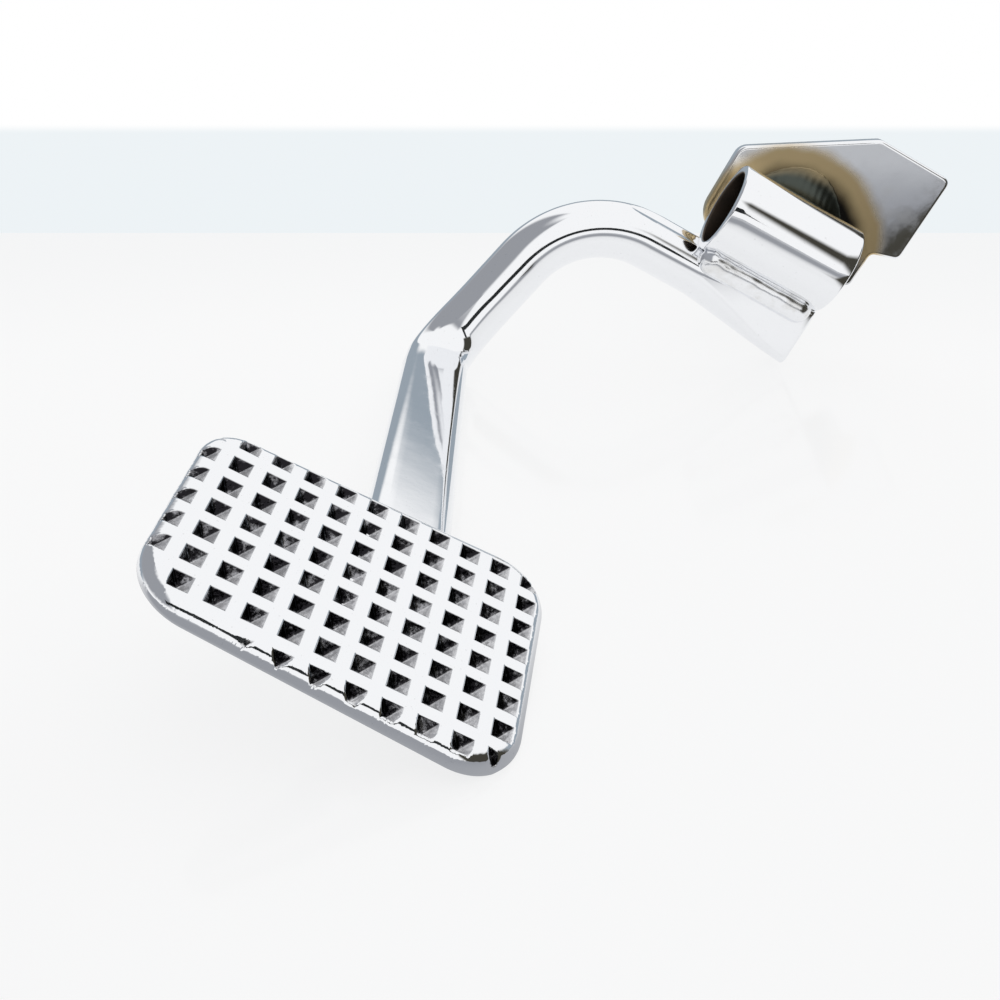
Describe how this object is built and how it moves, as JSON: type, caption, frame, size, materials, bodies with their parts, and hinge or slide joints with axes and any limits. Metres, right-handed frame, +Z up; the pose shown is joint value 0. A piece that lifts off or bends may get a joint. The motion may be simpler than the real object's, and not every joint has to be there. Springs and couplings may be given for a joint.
{
  "type": "rear brake pedal",
  "caption": "Chromed foot pedal for a motorbike's rear brake: dimpled pad, bent bar, pivot tube and a flat lever plate, welded together.",
  "frame": {"origin": "middle of the pivot tube's bore", "axes": "+X forward to the foot pad, +Y inboard along the pivot tube, +Z up, with the long run of the bar level"},
  "size_m": [0.1761, 0.1271, 0.1021],
  "materials": {
    "pad_chrome": "bright plate over pressed steel",
    "bar_chrome": "bright plate over forged steel",
    "tube_chrome": "bright outside, thinly plated and dark in the bore",
    "plate_chrome": "bright, stained brown round the upper weld",
    "weld_chrome": "plated over unground weld"
  },
  "bodies": {
    "root": {"foot_pad": "pad_chrome", "pedal_arm": "bar_chrome", "pivot_tube": "tube_chrome", "lever_plate": "plate_chrome", "corner_weld": "weld_chrome", "front_weld": "weld_chrome", "heel_weld": "weld_chrome", "pad_weld_inboard": "weld_chrome", "pad_weld_outboard": "weld_chrome"}
  },
  "joints": []
}
